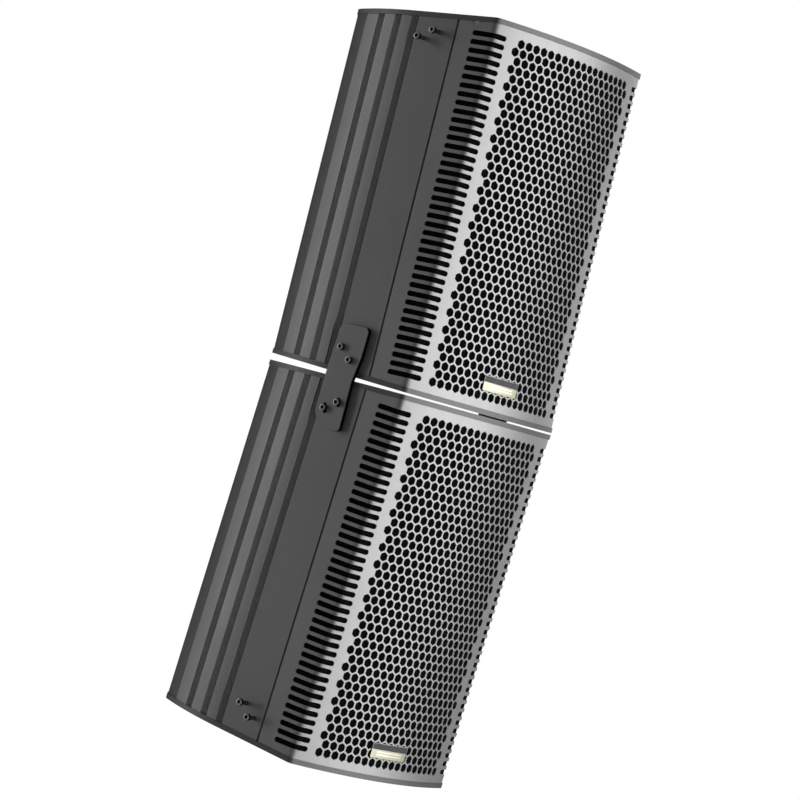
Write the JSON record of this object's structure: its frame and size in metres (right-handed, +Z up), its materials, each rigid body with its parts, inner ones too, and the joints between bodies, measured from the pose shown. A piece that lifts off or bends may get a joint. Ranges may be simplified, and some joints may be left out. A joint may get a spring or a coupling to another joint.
{
  "type": "line array speaker",
  "caption": "Line array loudspeaker of tall wedge-cut modules with bowed perforated grilles and ribbed shells, joined by side link plates and splayed.",
  "frame": {"origin": "middle of the four top rigging bolts, midway between the two sides", "axes": "+Z up along the upper module, -Y out of the front grille, +X to the right of a viewer who faces the grille"},
  "size_m": [0.316, 0.2978, 0.9014],
  "materials": {
    "cabinet_paint": "satin metallic grey powder coat",
    "cap_paint": "satin dark grey powder coat",
    "grille_paint": "satin metallic grey powder coat on perforated sheet",
    "plate_paint": "satin metallic grey powder coat",
    "foam": "open-cell acoustic foam",
    "black_steel": "black oxide",
    "zinc_steel": "zinc plated",
    "badge_metal": "brushed, lacquered",
    "baffle_board": "black stained plywood",
    "driver_frame": "black stove enamel",
    "motor_iron": "ferrite and black steel",
    "surround_rubber": "soft rubber",
    "cone_paper": "coated paper fibre",
    "spider_cloth": "resin-treated cloth",
    "horn_plastic": "moulded",
    "driver_aluminium": "cast, natural",
    "circuit_board": "solder resist",
    "component_plastic": "wound and potted parts",
    "socket_plastic": "moulded nylon",
    "wadding": "polyester wadding"
  },
  "bodies": {
    "upper_module": {"upper_grille": "grille_paint", "upper_grille_foam": "foam", "upper_top_cap": "cap_paint", "upper_bottom_cap": "cap_paint", "upper_cap_screws": "black_steel", "upper_badge": "badge_metal", "upper_baffle": "baffle_board", "upper_woofer_basket_a": "driver_frame", "upper_woofer_basket_b": "driver_frame", "upper_woofer_magnet_a": "motor_iron", "upper_woofer_magnet_b": "motor_iron", "upper_woofer_surround_a": "surround_rubber", "upper_woofer_surround_b": "surround_rubber", "upper_woofer_spiders": "spider_cloth", "upper_driver_screws": "black_steel", "upper_horn": "horn_plastic", "upper_compression_driver": "driver_aluminium", "upper_crossover_board": "circuit_board", "upper_crossover_parts": "component_plastic", "upper_input_plate": "plate_paint", "upper_input_sockets": "socket_plastic", "upper_input_plate_screws": "black_steel", "upper_damping_lining": "wadding", "upper_rear_shell": "cabinet_paint", "upper_rigging_blocks": "zinc_steel", "upper_end_bolts": "black_steel", "link_plate_left": "plate_paint", "link_plate_right": "plate_paint", "link_bolts_upper": "black_steel"},
    "lower_module": {"lower_grille": "grille_paint", "lower_grille_foam": "foam", "lower_top_cap": "cap_paint", "lower_bottom_cap": "cap_paint", "lower_cap_screws": "black_steel", "lower_badge": "badge_metal", "lower_baffle": "baffle_board", "lower_woofer_basket_a": "driver_frame", "lower_woofer_basket_b": "driver_frame", "lower_woofer_magnet_a": "motor_iron", "lower_woofer_magnet_b": "motor_iron", "lower_woofer_surround_a": "surround_rubber", "lower_woofer_surround_b": "surround_rubber", "lower_woofer_spiders": "spider_cloth", "lower_driver_screws": "black_steel", "lower_horn": "horn_plastic", "lower_compression_driver": "driver_aluminium", "lower_crossover_board": "circuit_board", "lower_crossover_parts": "component_plastic", "lower_input_plate": "plate_paint", "lower_input_sockets": "socket_plastic", "lower_input_plate_screws": "black_steel", "lower_damping_lining": "wadding", "lower_rear_shell": "cabinet_paint", "lower_rigging_blocks": "zinc_steel", "lower_end_bolts": "black_steel", "link_bolts_lower": "black_steel"},
    "upper_cone_a": {"upper_woofer_cone_a": "cone_paper"},
    "upper_cone_b": {"upper_woofer_cone_b": "cone_paper"},
    "lower_cone_a": {"lower_woofer_cone_a": "cone_paper"},
    "lower_cone_b": {"lower_woofer_cone_b": "cone_paper"}
  },
  "joints": [
    {"name": "splay", "type": "hinge", "parent": "upper_module", "child": "lower_module", "pos_m": [0, -0.0928, -0.41725], "axis": [1, 0, 0], "range_deg": [-1.75, 1.75]},
    {"name": "upper_cone_a_stroke", "type": "slide", "parent": "upper_module", "child": "upper_cone_a", "axis": [0, 1, 0], "range_m": [-0.004, 0.004], "stiffness_N_per_m": 1800},
    {"name": "upper_cone_b_stroke", "type": "slide", "parent": "upper_module", "child": "upper_cone_b", "axis": [0, 1, 0], "range_m": [-0.004, 0.004], "stiffness_N_per_m": 1800},
    {"name": "lower_cone_a_stroke", "type": "slide", "parent": "lower_module", "child": "lower_cone_a", "axis": [0, 0.9974, 0.0718], "range_m": [-0.004, 0.004], "stiffness_N_per_m": 1800},
    {"name": "lower_cone_b_stroke", "type": "slide", "parent": "lower_module", "child": "lower_cone_b", "axis": [0, 0.9974, 0.0718], "range_m": [-0.004, 0.004], "stiffness_N_per_m": 1800}
  ]
}
